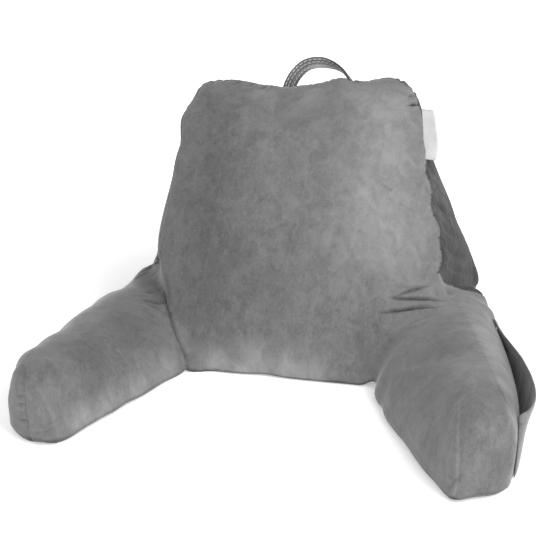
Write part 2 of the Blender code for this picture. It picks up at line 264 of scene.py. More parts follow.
def beside(points, line):
    """For each point: how far along the line its nearest place is, and how far off it lies."""
    starts = line[:-1]
    spans = np.diff(line, axis=0)
    lengths = np.linalg.norm(spans, axis=1)
    before = np.concatenate(([0.0], np.cumsum(lengths)))[:-1]
    best = np.full(len(points), 1e9)
    along = np.zeros(len(points))
    for start, span, length, gone in zip(starts, spans, lengths, before):
        share = np.clip((points - start) @ span / max(length * length, 1e-12), 0.0, 1.0)
        away = np.linalg.norm(points - start - share[:, None] * span, axis=1)
        nearer = away < best
        best[nearer] = away[nearer]
        along[nearer] = gone + share[nearer] * length
    return along, best


def near(points, line, reach):
    low = line.min(0) - reach
    high = line.max(0) + reach
    return np.where(((points > low) & (points < high)).all(1))[0]


def eased(mesh, passes, chosen=None):
    """The mesh with its points drawn towards their neighbours, so that edges and joints turn softly."""
    soft = bmesh.new()
    soft.from_mesh(mesh)
    soft.verts.ensure_lookup_table()
    verts = soft.verts if chosen is None else [soft.verts[i] for i in chosen]
    for _ in range(passes):
        bmesh.ops.smooth_vert(
            soft, verts=verts, factor=0.5, use_axis_x=True, use_axis_y=True, use_axis_z=True
        )
    soft.to_mesh(mesh)
    soft.free()


def averaged(values, mesh, passes):
    """The values with each point's drawn towards its neighbours', so that they change softly."""
    ends = np.empty(len(mesh.edges) * 2, int)
    mesh.edges.foreach_get("vertices", ends)
    one = ends[0::2]
    other = ends[1::2]
    count = np.bincount(ends, minlength=len(values)).astype(float)
    for _ in range(passes):
        total = np.zeros_like(values)
        np.add.at(total, one, values[other])
        np.add.at(total, other, values[one])
        values = 0.5 * values + 0.5 * total / count[:, None]
    return values


def skin_of(mesh):
    faces = [tuple(face.vertices) for face in mesh.polygons]
    return BVHTree.FromPolygons([vert.co for vert in mesh.vertices], faces)


shell = bmesh.new()
for part in COVER_PARTS:
    part_mesh = merged_copy(part, PARTS_OVERLAP)
    shell.from_mesh(part_mesh)
    bpy.data.meshes.remove(part_mesh)
cover_mesh = bpy.data.meshes.new("cover")
shell.to_mesh(cover_mesh)
shell.free()
cover = new_piece("cover", cover_mesh)
remesh = cover.modifiers.new("Even cloth", "REMESH")
remesh.mode = "VOXEL"
remesh.voxel_size = REMESH_SIZE
finished_mesh(cover)
eased(cover.data, EASING_PASSES)

# The front panel rolls over the top and the left side, and the arms' roots run into it: the line, how
# far off it the cloth is eased, and how many times.
EASED_LINES = (
    (((-0.205, 0.262, 0.448), (0.000, 0.247, 0.446), (0.198, 0.262, 0.452)), 0.034, 26),
    (
        ((-0.217, 0.252, 0.446), (-0.244, 0.171, 0.340), (-0.257, 0.091, 0.225), (-0.257, 0.056, 0.178)),
        0.026, 12,
    ),
    (
        (
            (0.181, -0.052, 0.010), (0.186, -0.040, 0.045), (0.203, -0.010, 0.090), (0.222, 0.012, 0.115),
            (0.250, 0.035, 0.130), (0.270, 0.060, 0.134),
        ),
        0.046, 70,
    ),
    (
        ((0.216, 0.035, 0.158), (0.243, 0.047, 0.160), (0.268, 0.070, 0.160), (0.285, 0.110, 0.145)),
        0.022, 30,
    ),
    (((-0.258, 0.066, 0.120), (-0.275, 0.120, 0.108), (-0.305, 0.180, 0.094)), 0.034, 55),
    (
        ((-0.186, -0.050, 0.010), (-0.192, -0.046, 0.045), (-0.222, 0.006, 0.085), (-0.245, 0.036, 0.110)),
        0.022, 10,
    ),
)
for corners, reach, passes in EASED_LINES:
    points = points_of(cover.data)
    line = even_line(np.array(corners), 0.01)
    in_box = near(points, line, reach)
    in_box = in_box[points[in_box][:, 2] > FOOT]
    eased(cover.data, passes, in_box[beside(points[in_box], line)[1] < reach])

# The cloth starts a little small, and the filling blows it out between the seams.
points = points_of(cover.data)
outward = normals_of(cover.data)
points -= outward * (START_SHRINK + PARTS_OVERLAP)
points[:, 2] = np.maximum(points[:, 2], 0.0)
set_points(cover.data, points)
foot_share = np.clip((FOOT_FADE - points[:, 2]) / (FOOT_FADE - FOOT), 0, 1)

skin = skin_of(cover.data)
held = points[:, 2] < FLOOR_GRIP
for seam in seams:
    line = laid_line(seam.points, skin)
    close = near(points, line, SEAM_GRIP)
    held[close[beside(points[close], line)[1] < SEAM_GRIP]] = True
grip = cover.vertex_groups.new(name="sewn_down")
grip.add([int(i) for i in np.where(held)[0]], 1.0, "REPLACE")
filling = cover.modifiers.new("Filling", "CLOTH")
filling.settings.use_pressure = True
filling.settings.uniform_pressure_force = FILL_PRESSURE
filling.settings.effector_weights.gravity = 0.0
filling.settings.vertex_group_mass = "sewn_down"
filling.settings.shrink_min = CLOTH_GROWTH
for number in range(1, FILL_FRAMES + 1):
    scene.frame_set(number)
finished_mesh(cover)
scene.frame_set(1)
moved = averaged(points_of(cover.data) - points, cover.data, CALMING_PASSES)
length = np.linalg.norm(moved, axis=1)
points = points + moved * np.minimum(1.0, MOST_SWELL / np.maximum(length, 1e-9))[:, None]
cover.vertex_groups.clear()

# The foot lies where the solids' does, on the floor.
foot_share = np.maximum(foot_share, 0.0)
points += outward * (START_SHRINK * foot_share)[:, None]
points[:, 2] = np.maximum(points[:, 2], 0.0)
set_points(cover.data, points)

finer = cover.modifiers.new("Finer cloth", "SUBSURF")
finer.levels = finer.render_levels = 1
finished_mesh(cover)

# Where the filling packs out or sinks: the place, and how far the cloth stands out there.
PACKED_REACH = 0.028
PACKED = (
    ((-0.174, -0.054, 0.008), 0.0125), ((0.137, 0.312, 0.460), 0.0068),
    ((-0.192, -0.082, 0.005), 0.0050), ((-0.357, 0.112, 0.084), -0.0100),
    ((-0.357, -0.314, 0.006), 0.0083), ((0.352, 0.172, 0.075), 0.0077),
    ((-0.386, -0.302, 0.008), 0.0070), ((-0.221, 0.286, 0.435), 0.0093),
    ((0.183, -0.098, 0.011), 0.0101), ((0.339, 0.198, 0.079), 0.0078),
    ((-0.215, -0.143, 0.004), 0.0040), ((0.338, 0.278, 0.074), 0.0096),
    ((0.050, 0.302, 0.458), 0.0105), ((-0.238, 0.245, 0.403), 0.0058),
    ((0.375, -0.320, 0.007), 0.0038), ((-0.244, 0.232, 0.380), 0.0077),
    ((0.164, 0.312, 0.458), 0.0068), ((0.202, -0.151, 0.009), 0.0076),
    ((0.363, 0.112, 0.082), 0.0079), ((0.309, 0.291, 0.182), -0.0084),
    ((-0.332, 0.264, 0.092), -0.0079), ((-0.352, 0.152, 0.079), -0.0064),
    ((0.215, 0.280, 0.420), -0.0050), ((0.242, 0.277, 0.326), -0.0057),
    ((-0.382, -0.127, 0.107), -0.0061), ((-0.333, 0.207, 0.073), 0.0061),
    ((-0.375, 0.008, 0.091), -0.0046), ((0.105, 0.302, 0.460), 0.0044),
    ((-0.154, 0.312, 0.450), 0.0027), ((-0.102, 0.314, 0.451), -0.0039),
    ((-0.262, -0.244, 0.002), -0.0048), ((-0.281, -0.279, 0.002), -0.0043),
    ((0.216, -0.187, 0.009), 0.0038), ((-0.336, 0.264, 0.066), 0.0057),
    ((0.272, 0.285, 0.257), -0.0032), ((0.285, 0.288, 0.229), -0.0038),
    ((0.255, 0.277, 0.295), -0.0030), ((0.201, 0.301, 0.443), -0.0031),
    ((-0.251, 0.188, 0.321), 0.0032), ((-0.241, -0.200, 0.002), -0.0040),
    ((-0.186, 0.312, 0.448), 0.0040), ((-0.030, -0.055, 0.002), -0.0034),
    ((-0.058, 0.315, 0.447), -0.0032), ((0.400, -0.263, 0.016), 0.0029),
    ((-0.397, -0.295, 0.094), -0.0033), ((-0.384, -0.218, 0.119), -0.0032),
    ((-0.389, -0.256, 0.117), 0.0031), ((0.282, -0.318, 0.004), -0.0026),
    ((0.224, 0.190, 0.360), 0.0060), ((0.216, 0.228, 0.412), 0.0030),
    ((0.238, 0.158, 0.305), 0.0050), ((0.258, 0.112, 0.245), 0.0050),
    ((0.270, 0.082, 0.195), 0.0040),
    ((-0.341, 0.081, 0.094), -0.0062), ((0.393, -0.314, 0.009), -0.0050),
    ((-0.222, 0.291, 0.445), 0.0033), ((-0.207, -0.150, 0.000), -0.0044),
    ((-0.315, 0.220, 0.110), -0.0024), ((-0.358, 0.177, 0.064), -0.0035),
    ((0.296, 0.261, 0.209), -0.0037), ((0.320, 0.301, 0.146), -0.0024),
    ((-0.365, -0.026, 0.101), -0.0031), ((-0.374, -0.152, 0.114), -0.0030),
    ((-0.401, -0.297, 0.049), 0.0028), ((-0.372, -0.175, 0.112), -0.0016),
    ((-0.345, 0.035, 0.098), -0.0016), ((-0.380, -0.060, 0.100), -0.0030),
    ((-0.392, -0.103, 0.090), -0.0026), ((-0.362, 0.060, 0.090), -0.0030),
    ((0.376, -0.320, 0.007), 0.0030), ((0.214, 0.251, 0.427), -0.0030),
    ((-0.362, 0.138, 0.064), -0.0030), ((-0.334, 0.278, 0.084), -0.0025),
    ((-0.404, -0.303, 0.016), -0.0024), ((-0.325, -0.327, 0.002), -0.0023),
    ((0.293, 0.311, 0.197), -0.0022), ((0.240, 0.310, 0.311), -0.0020),
    ((-0.238, -0.191, 0.006), -0.0014), ((-0.234, 0.281, 0.436), -0.0024),
    ((0.390, -0.314, 0.011), -0.0025),
)
points = points_of(cover.data)
outward = normals_of(cover.data)
for place, rise in PACKED:
    away = np.linalg.norm(points - np.array(place), axis=1)
    points += outward * (rise * np.exp(-((away / PACKED_REACH) ** 2)))[:, None]
points[:, 2] = np.maximum(points[:, 2], 0.0)
set_points(cover.data, points)

# The creases, and with a depth below 0 the ridges: the line, how deep and how wide it is, how high the
# cloth stands up at its sides, and how much painted shade darkens its trough.
FOLDS = (
    # the right arm's root
    (((0.192, 0.020, 0.145), (0.215, 0.035, 0.152), (0.252, 0.053, 0.157)), 0.0040, 0.0030, 0.3, 0.34),
    (
        ((0.180, 0.017, 0.144), (0.200, 0.020, 0.142), (0.236, 0.034, 0.137), (0.284, 0.062, 0.126)),
        0.0058, 0.0028, 0.3, 0.50,
    ),
    (
        ((0.166, -0.002, 0.122), (0.191, 0.005, 0.123), (0.237, 0.024, 0.124), (0.274, 0.032, 0.125)),
        0.0052, 0.0028, 0.3, 0.50,
    ),
    (((0.200, -0.012, 0.100), (0.235, -0.004, 0.116), (0.262, 0.002, 0.123)), 0.0016, 0.0060, 0.3, 0.05),
    # the left arm's root
    (((-0.274, 0.004, 0.102), (-0.254, 0.011, 0.099), (-0.234, 0.019, 0.094)), 0.0055, 0.0036, 0.3, 0.30),
    (((-0.287, -0.036, 0.110), (-0.263, -0.042, 0.103), (-0.241, -0.052, 0.094)), 0.0016, 0.0070, 0.3, 0.0),
    (((-0.282, 0.040, 0.110), (-0.265, 0.042, 0.112), (-0.248, 0.044, 0.110)), 0.0022, 0.0045, 0.3, 0.15),
    # the left arm's rear, beside the gusset
    (((-0.328, 0.118, 0.092), (-0.324, 0.140, 0.092), (-0.312, 0.158, 0.092)), 0.0036, 0.0030, 0.5, 0.22),
    (((-0.338, 0.168, 0.080), (-0.324, 0.174, 0.087), (-0.308, 0.176, 0.095)), 0.0040, 0.0032, 0.5, 0.26),
    (((-0.331, 0.190, 0.082), (-0.318, 0.187, 0.091), (-0.305, 0.180, 0.101)), 0.0040, 0.0032, 0.5, 0.26),
    (((-0.326, 0.203, 0.085), (-0.310, 0.190, 0.099), (-0.296, 0.166, 0.111)), 0.0040, 0.0032, 0.5, 0.26),
    # the top seam and its right corner
    (((0.154, 0.304, 0.468), (0.166, 0.300, 0.467), (0.178, 0.297, 0.460)), 0.0060, 0.0036, 0.5, 0.80),
    (((0.184, 0.256, 0.449), (0.194, 0.276, 0.446), (0.201, 0.300, 0.438)), 0.0060, 0.0036, 0.5, 0.80),
    (((0.186, 0.240, 0.438), (0.196, 0.246, 0.437), (0.208, 0.262, 0.432)), 0.0060, 0.0034, 0.5, 0.80),
    (((0.066, 0.303, 0.466), (0.078, 0.297, 0.464), (0.092, 0.292, 0.463)), 0.0030, 0.0028, 0.5, 0.60),
    # the right gusset's soft wrinkles, running back from its front seam
    (((0.240, 0.168, 0.310), (0.254, 0.186, 0.293), (0.270, 0.223, 0.266)), 0.0022, 0.0055, 0.6, 0.06),
    (((0.248, 0.143, 0.284), (0.264, 0.163, 0.262), (0.282, 0.207, 0.235)), 0.0026, 0.0050, 0.6, 0.08),
    (((0.256, 0.119, 0.254), (0.274, 0.138, 0.231), (0.295, 0.192, 0.199)), 0.0024, 0.0060, 0.6, 0.06),
    (((0.264, 0.096, 0.223), (0.284, 0.124, 0.196), (0.312, 0.217, 0.147)), 0.0026, 0.0060, 0.6, 0.10),
    (((0.273, 0.084, 0.192), (0.296, 0.160, 0.145), (0.326, 0.241, 0.102)), 0.0022, 0.0050, 0.6, 0.06),
    # the top seam's left corner
    (((-0.205, 0.270, 0.447), (-0.199, 0.285, 0.451), (-0.196, 0.303, 0.452)), 0.0030, 0.0040, 0.5, 0.10),
    (((-0.160, 0.282, 0.452), (-0.151, 0.292, 0.453), (-0.146, 0.308, 0.453)), 0.0032, 0.0040, 0.5, 0.20),
    (((-0.126, 0.276, 0.450), (-0.122, 0.290, 0.450), (-0.124, 0.308, 0.450)), 0.0030, 0.0036, 0.5, 0.20),
    # the left arm's end, puckered from its seam
    (((-0.374, -0.318, 0.081), (-0.366, -0.321, 0.084), (-0.357, -0.323, 0.088)), 0.0013, 0.0028, 0.5, 0.10),
    (((-0.375, -0.319, 0.067), (-0.366, -0.322, 0.071), (-0.355, -0.325, 0.075)), 0.0015, 0.0026, 0.5, 0.14),
    (((-0.374, -0.320, 0.053), (-0.366, -0.323, 0.056), (-0.358, -0.326, 0.061)), 0.0011, 0.0030, 0.5, 0.06),
    (((-0.372, -0.322, 0.039), (-0.364, -0.324, 0.042), (-0.356, -0.326, 0.046)), 0.0014, 0.0026, 0.5, 0.12),
    # under the left arm's tip
    (((-0.333, -0.333, 0.041), (-0.315, -0.327, 0.044), (-0.299, -0.309, 0.052)), 0.0022, 0.0050, 0.5, 0.08),
    (((-0.346, -0.332, 0.024), (-0.326, -0.333, 0.030), (-0.309, -0.322, 0.036)), 0.0024, 0.0050, 0.5, 0.10),
    # the right arm's end, and the top seam again
    (((0.314, -0.354, 0.052), (0.309, -0.351, 0.040), (0.301, -0.345, 0.022)), 0.0020, 0.0030, 0.5, 0.14),
    (((-0.104, 0.268, 0.447), (-0.096, 0.283, 0.448), (-0.092, 0.305, 0.449)), 0.0032, 0.0036, 0.5, 0.25),
    # soft ridges between the creases of the roots
    (((-0.274, -0.019, 0.105), (-0.246, -0.022, 0.097), (-0.217, -0.020, 0.082)), -0.0040, 0.0060, 0.0, 0.0),
    (((-0.285, 0.070, 0.103), (-0.262, 0.046, 0.104), (-0.240, 0.024, 0.098)), -0.0040, 0.0048, 0.0, 0.0),
    (((0.196, 0.012, 0.134), (0.236, 0.030, 0.131), (0.278, 0.046, 0.126)), -0.0022, 0.0050, 0.0, 0.0),
)
CREASE_SHADE_WIDTH = 0.0024
SEAM_SHADE_WIDTH = 0.0026

skin = skin_of(cover.data)
points = points_of(cover.data)
outward = normals_of(cover.data)
push = np.zeros(len(points))
seam_painted_shade_and_highlight = np.zeros(len(points))
painted_shade = np.zeros(len(points))
chance = random.Random(11)

for corners, depth, width, ridge, shade in FOLDS:
    line = laid_line(corners, skin)
    close = near(points, line, width * 4)
    along, away = beside(points[close], line)
    taper = np.sin(np.pi * np.clip(along / along.max(), 0.02, 0.98)) ** 0.6
    trough = np.exp(-((away / width) ** 2))
    shoulder = np.exp(-(((away - 2.1 * width) / width) ** 2))
    push[close] -= depth * taper * (trough - ridge * shoulder)
    # Painted shade along the crease's trough.
    painted_shade[close] = np.maximum(painted_shade[close], shade * taper * np.exp(-((away / CREASE_SHADE_WIDTH) ** 2)))

# Each seam draws the cloth in and throws it into puckers, no two alike, that slant off either side.
for seam in seams:
    line = laid_line(seam.points, skin)
    close = near(points, line, seam.reach * 2.5)
    along, away = beside(points[close], line)
    drawn_in = np.exp(-((away / seam.width) ** 2))
    push[close] -= seam.depth * drawn_in
    # Painted shade along the seam's groove, or with a shade below 0 a painted highlight along its edge.
    seam_painted_shade_and_highlight[close] += seam.shade * np.exp(-((away / SEAM_SHADE_WIDTH) ** 2))
    spans = np.diff(line, axis=0)
    run = np.linalg.norm(spans, axis=1).sum()
    nearest = read_off(along, np.linspace(0, run, len(line)), line)
    tangent = read_off(along, np.linspace(0, run, len(spans)), spans)
    side = np.sign(((points[close] - nearest) * np.cross(tangent, outward[close])).sum(1))
    place = 0.0
    while place < run:
        place += seam.every * chance.uniform(0.55, 1.5)
        size = seam.pucker * chance.uniform(0.3, 1.5)
        reach = seam.reach * chance.uniform(0.45, 1.2)
        width = seam.every * chance.uniform(0.18, 0.34)
        slant = chance.uniform(-0.45, 0.45)
        facing = chance.choice((-1, 0, 1))
        share = np.where(side * facing < 0, 0.25, 1.0)
        offset = along - place - slant * away * side
        wrinkle = np.exp(-((offset / width) ** 2)) * np.exp(-((away / reach) ** 1.5))
        push[close] -= size * share * wrinkle * (1 - 0.6 * drawn_in)

points = points + outward * push[:, None]
points[:, 2] = np.maximum(points[:, 2], 0.0)
set_points(cover.data, points)
cover.data.shade_smooth()


def panel_share(points, front, rear, depth, soft, inset):
    """1 on the wall between a front seam and a rear seam, and 0 off it."""
    front = np.array(front, float)
    rear = np.array(rear, float)
    height = points[:, 2]
    start = np.stack([np.interp(height, front[:, 2], front[:, k]) for k in (0, 1)], axis=1)
    end = np.stack([np.interp(height, rear[:, 2], rear[:, k]) for k in (0, 1)], axis=1)
    span = end - start
    length = np.linalg.norm(span, axis=1)
    rel = points[:, :2] - start
    along = (rel * span).sum(1) / length - inset
    off = np.abs(rel[:, 0] * span[:, 1] - rel[:, 1] * span[:, 0]) / length
    inside = np.clip(along / soft, 0, 1) * np.clip((length - along) / soft, 0, 1)
    return inside * np.clip((depth - off) / soft, 0, 1)


# Painted shade: the two gussets' velour is made darker, as far as the cloth turns round to the rear panel.
GUSSET_HEIGHTS = (0.06, 0.12, 0.36, 0.43)
GUSSET_DEPTHS = (0.130, 0.090, 0.075, 0.012)
GUSSET_SHADE_EDGE = 0.0035
FOOT_EDGE = 0.004
REAR_TURN = 0.72
REAR_TURN_SOFT = 0.15
painted_gusset_shade = np.zeros(len(points))
for front, rear, foot, inset in (
    (FRONT_SEAM_RIGHT, REAR_SEAM_RIGHT, SIDE_SEAM_RIGHT, 0.002),
    (FRONT_SEAM_LEFT, REAR_SEAM_LEFT, SIDE_SEAM_LEFT, 0.022),
):
    foot = np.array(foot)
    over_foot = points[:, 2] - np.interp(points[:, 1], foot[:, 1], foot[:, 2])
    depth = np.interp(points[:, 2], GUSSET_HEIGHTS, GUSSET_DEPTHS)
    wall = panel_share(points, front, rear, depth, GUSSET_SHADE_EDGE, inset) * np.clip(over_foot / FOOT_EDGE, 0, 1)
    wall *= np.clip((REAR_TURN - outward[:, 1]) / REAR_TURN_SOFT, 0, 1)
    painted_gusset_shade = np.maximum(painted_gusset_shade, wall)


def smooth_line(corners):
    """The line rounded at its corners, with a point every 4 mm."""
    return even_line(rounded_line(np.array(corners)), 0.004)


def beside_seam(points, line, reach):
    """1 on the line, fading over reach at both its sides."""
    line = smooth_line(line)
    close = near(points, line, reach * 2.5)
    share = np.zeros(len(points))
    share[close] = np.exp(-((beside(points[close], line)[1] / reach) ** 2))
    return share


def keep_on_points(mesh, name, values):
    attribute = mesh.attributes.new(name, "FLOAT", "POINT")
    attribute.data.foreach_set("value", np.ascontiguousarray(values, dtype=np.float32))


def beyond(points, line, reach):
    """1 just outside the line and 0 inside it, fading over reach."""
    line = smooth_line(line)
    close = near(points, line, reach * 2)
    along, away = beside(points[close], line)
    across = np.interp(along, np.linspace(0, along.max(), len(line)), np.abs(line[:, 0]))
    share = np.zeros(len(points))
    outside = np.clip((np.abs(points[close][:, 0]) - across) / 0.003, 0, 1)
    share[close] = outside * np.exp(-((away / reach) ** 2))
    return share


keep_on_points(cover.data, "painted_gusset_shade", painted_gusset_shade)

# Where a hand has brushed the pile up or down, and painted light and shade, such as the front panel lighter
# to its right and darker to its left, and a painted shadow under the label: place, how far it reaches and
# how much it lightens.
BRUSHED_AND_PAINTED_LIGHT = (
    ((0.155, 0.221, 0.435), 0.060, 0.26), ((0.158, 0.160, 0.352), 0.062, 0.28),
    ((0.166, 0.101, 0.277), 0.062, 0.27), ((0.176, 0.050, 0.202), 0.058, 0.24),
    ((0.100, 0.130, 0.310), 0.060, 0.08), ((0.075, 0.070, 0.230), 0.060, 0.07),
    ((-0.175, 0.161, 0.353), 0.075, -0.13), ((-0.155, 0.078, 0.245), 0.085, -0.14),
    ((-0.140, 0.006, 0.137), 0.080, -0.15), ((-0.020, 0.000, 0.130), 0.070, -0.05),
    ((-0.097, 0.250, 0.450), 0.028, 0.16), ((0.000, 0.250, 0.450), 0.030, 0.26),
    ((0.090, 0.250, 0.455), 0.030, 0.22),
    ((-0.121, -0.056, 0.018), 0.030, 0.34), ((-0.060, -0.056, 0.018), 0.032, 0.40),
    ((0.010, -0.056, 0.018), 0.032, 0.34), ((0.060, -0.054, 0.015), 0.026, 0.24),
    ((-0.075, -0.050, 0.060), 0.022, 0.16),
    ((-0.278, -0.290, 0.020), 0.030, 0.34), ((-0.250, -0.245, 0.022), 0.030, 0.34),
    ((-0.222, -0.182, 0.018), 0.030, 0.32), ((-0.195, -0.110, 0.020), 0.032, 0.26),
    ((-0.355, -0.249, 0.128), 0.032, 0.14), ((-0.348, -0.191, 0.126), 0.032, 0.13),
    ((-0.338, -0.110, 0.118), 0.034, 0.15), ((-0.264, -0.094, 0.101), 0.045, -0.13),
    ((-0.190, -0.050, 0.060), 0.030, 0.10),
    ((0.354, -0.114, 0.138), 0.024, 0.20), ((0.343, -0.050, 0.132), 0.024, 0.18),
    ((0.395, -0.310, 0.068), 0.050, -0.20), ((0.150, -0.036, 0.062), 0.050, -0.12),
    ((0.277, -0.048, 0.131), 0.038, -0.10), ((0.306, -0.220, 0.140), 0.040, 0.05),
    ((0.288, -0.120, 0.134), 0.040, -0.23), ((0.278, -0.220, 0.118), 0.038, -0.11),
    ((0.271, -0.304, 0.047), 0.035, -0.13), ((0.380, -0.278, 0.138), 0.028, -0.38),
    ((0.376, -0.215, 0.146), 0.020, -0.28),
    ((-0.277, -0.207, 0.095), 0.045, -0.13), ((-0.262, 0.014, 0.101), 0.028, -0.08),
    ((-0.180, 0.219, 0.415), 0.045, -0.07), ((-0.021, -0.050, 0.029), 0.030, 0.08),
    ((0.253, 0.049, 0.131), 0.028, 0.08), ((-0.205, -0.120, 0.030), 0.030, 0.10),
    ((0.296, 0.175, 0.180), 0.028, -0.05), ((0.312, 0.200, 0.115), 0.028, 0.08),
    ((0.262, 0.200, 0.290), 0.040, 0.06), ((0.238, 0.200, 0.336), 0.014, -0.34),
    ((0.203, 0.267, 0.437), 0.010, -0.45), ((0.172, 0.311, 0.466), 0.008, -0.40),
    ((0.375, -0.345, 0.060), 0.040, -0.12),
)
# Painted sheen: the pile is made lighter just outside the seam that runs along each arm's band.
BAND_REACH = 0.030
BAND_PAINTED_SHEEN_RIGHT = 0.15
BAND_PAINTED_SHEEN_LEFT = 0.08
brushed_and_painted_light = np.zeros(len(points))
for place, reach, tone in BRUSHED_AND_PAINTED_LIGHT:
    away = np.linalg.norm(points - np.array(place), axis=1)
    brushed_and_painted_light += tone * np.exp(-((away / reach) ** 2))
right_band_sheen = beyond(points, ARM_BAND_RIGHT[:6], BAND_REACH)
left_band_sheen = beyond(points, ARM_BAND_LEFT[:6], BAND_REACH)
brushed_and_painted_light += BAND_PAINTED_SHEEN_RIGHT * right_band_sheen + BAND_PAINTED_SHEEN_LEFT * left_band_sheen
keep_on_points(cover.data, "brushed_and_painted_light", brushed_and_painted_light)
keep_on_points(cover.data, "seam_painted_shade_and_highlight", seam_painted_shade_and_highlight)

# Painted shade: cloth that turns under beside the floor is made darker, and so is the gusset along its
# front seam.
UNDER_SHADE = 0.60
UNDER_HEIGHT = 0.030
SEAM_SHADE = 0.09
SEAM_SHADE_REACH = 0.013
turned_down = np.clip(-2.4 * outward[:, 2] - 0.10, 0, 1)
turned_under = turned_down * np.clip(1.4 - points[:, 2] / UNDER_HEIGHT, 0, 1)
along_seam = beside_seam(points, FRONT_SEAM_RIGHT[3:9], SEAM_SHADE_REACH)
painted_shade += UNDER_SHADE * turned_under + SEAM_SHADE * painted_gusset_shade * along_seam
keep_on_points(cover.data, "painted_shade", painted_shade)


class Wire:
    """An output in a material; a sum written with it adds the Math nodes that work it out."""

    def __init__(self, finish, socket):
        self.finish = finish
        self.socket = socket

    def worked(self, operation, first, second):
        return self.finish.node("ShaderNodeMath", {"operation": operation}, {0: first, 1: second})

    def put_through(self, operation):
        return self.worked(operation, self, 0.0)

    def __add__(self, other):
        return self.worked("ADD", self, other)

    def __radd__(self, other):
        return self.worked("ADD", other, self)

    def __sub__(self, other):
        return self.worked("SUBTRACT", self, other)

    def __rsub__(self, other):
        return self.worked("SUBTRACT", other, self)

    def __mul__(self, other):
        return self.worked("MULTIPLY", self, other)

    def __rmul__(self, other):
        return self.worked("MULTIPLY", other, self)

    def __gt__(self, other):
        return self.worked("GREATER_THAN", self, other)

    def __lt__(self, other):
        return self.worked("LESS_THAN", self, other)


class Finish:
    """A material on one shader, with its nodes made one way."""

    def __init__(self, name):
        self.material = bpy.data.materials.new(name)
        self.material.use_nodes = True
        self.tree = self.material.node_tree
        self.shader = self.tree.nodes["Principled BSDF"]

    def plug(self, socket, value):
        if isinstance(value, Wire):
            self.tree.links.new(value.socket, socket)
        else:
            socket.default_value = value

    def node(self, kind, settings, sockets, output=0):
        made = self.tree.nodes.new(kind)
        for key, value in settings.items():
            setattr(made, key, value)
        for key, value in sockets.items():
            self.plug(made.inputs[key], value)
        return Wire(self, made.outputs[output])

    def kept(self, name):
        """The numbers that were kept on the piece's points under this name."""
        return self.node("ShaderNodeAttribute", {"attribute_name": name}, {}, output="Fac")

    def noise(self, place, scale, detail=3.0, distortion=0.0):
        sockets = {"Vector": place, "Scale": scale, "Detail": detail, "Distortion": distortion}
        return self.node("ShaderNodeTexNoise", {}, sockets)

    def between(self, dark, light, share):
        sockets = {0: share, 6: dark, 7: light}
        return self.node("ShaderNodeMix", {"data_type": "RGBA"}, sockets, output=2)

    def bump(self, height, distance, strength=1.0):
        sockets = {"Height": height, "Distance": distance, "Strength": strength}
        return self.node("ShaderNodeBump", {}, sockets)

    def set(self, **sockets):
        for key, value in sockets.items():
            self.plug(self.shader.inputs[key.replace("_", " ")], value)


VELOUR_DARK = (0.030, 0.030, 0.0305, 1.0)
VELOUR_LIGHT = (0.230, 0.230, 0.232, 1.0)


def velour(name, tone):
    """Short grey pile, brushed into cloudy patches, lighter where it is seen along the surface."""
    cloth = Finish(name)
    cloth.set(Roughness=0.85, Sheen_Roughness=0.45, Specular_IOR_Level=0.2)
    place = cloth.node("ShaderNodeTexCoord", {}, {}, output="Object")
    combed = cloth.node("ShaderNodeMapping", {}, {"Vector": place, "Scale": (1.0, 1.0, 0.55)})
    clouds = cloth.noise(place, 8.0, 3.0, 0.3)
    patches = cloth.noise(combed, 38.0, 4.0, 0.9)
    strokes = cloth.noise(combed, 150.0, 4.0, 1.2)
    pile = cloth.noise(place, 520.0, 2.0)
    share = tone + 0.24 * (clouds - 0.5) + 0.46 * (patches - 0.5) + 0.36 * (strokes - 0.5)
    share = share + 0.24 * (pile - 0.5)
    return cloth, share, patches, strokes, pile


# For the cover and for its two gussets, whose velour is a darker copy that shines less as painted shade:
# how light the velour is, and how much it glows at its edges.
COVER_FINISHES = (("velour_cover", 0.435, 0.35), ("velour_painted_shade", 0.21, 0.06))
cover.data.materials.clear()
for name, tone, sheen in COVER_FINISHES:
    cover_cloth, share, patches, strokes, pile = velour(name, tone)
    # The velour's colour takes the brushed pile with its painted light and shade, the gussets' painted
    # shade, the seams' painted shade and highlight, and the painted shade of creases and of cloth turned
    # under.
    share = share + cover_cloth.kept("brushed_and_painted_light") * (0.55 + 0.9 * patches) - 0.12 * cover_cloth.kept("painted_gusset_shade")
    share = share - cover_cloth.kept("seam_painted_shade_and_highlight") * (0.2 + 1.6 * strokes) - cover_cloth.kept("painted_shade")
    cover_cloth.set(
        Base_Color=cover_cloth.between(VELOUR_DARK, VELOUR_LIGHT, share),
        Sheen_Weight=sheen,
        Normal=cover_cloth.bump(0.5 * strokes + 0.35 * patches + 0.15 * pile, 0.0016, 0.5),
    )
    cover.data.materials.append(cover_cloth.material)
# Faces on the gussets take the darker, less shiny copy of the velour, as painted shade.
corners = np.empty(len(cover.data.polygons) * 4, int)
cover.data.polygons.foreach_get("vertices", corners)
on_gusset = painted_gusset_shade[corners].reshape(-1, 4).mean(1) > 0.5
cover.data.polygons.foreach_set("material_index", on_gusset.astype(np.int32))
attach(cover, "root")
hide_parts(*COVER_PARTS)

# ---- the side pockets
# A patch of the same velour on each arm's outer side, sewn down along its ends and its foot. Its rim
# is turned in and stitched as a wide hem, and gapes off the arm where things are pushed in.

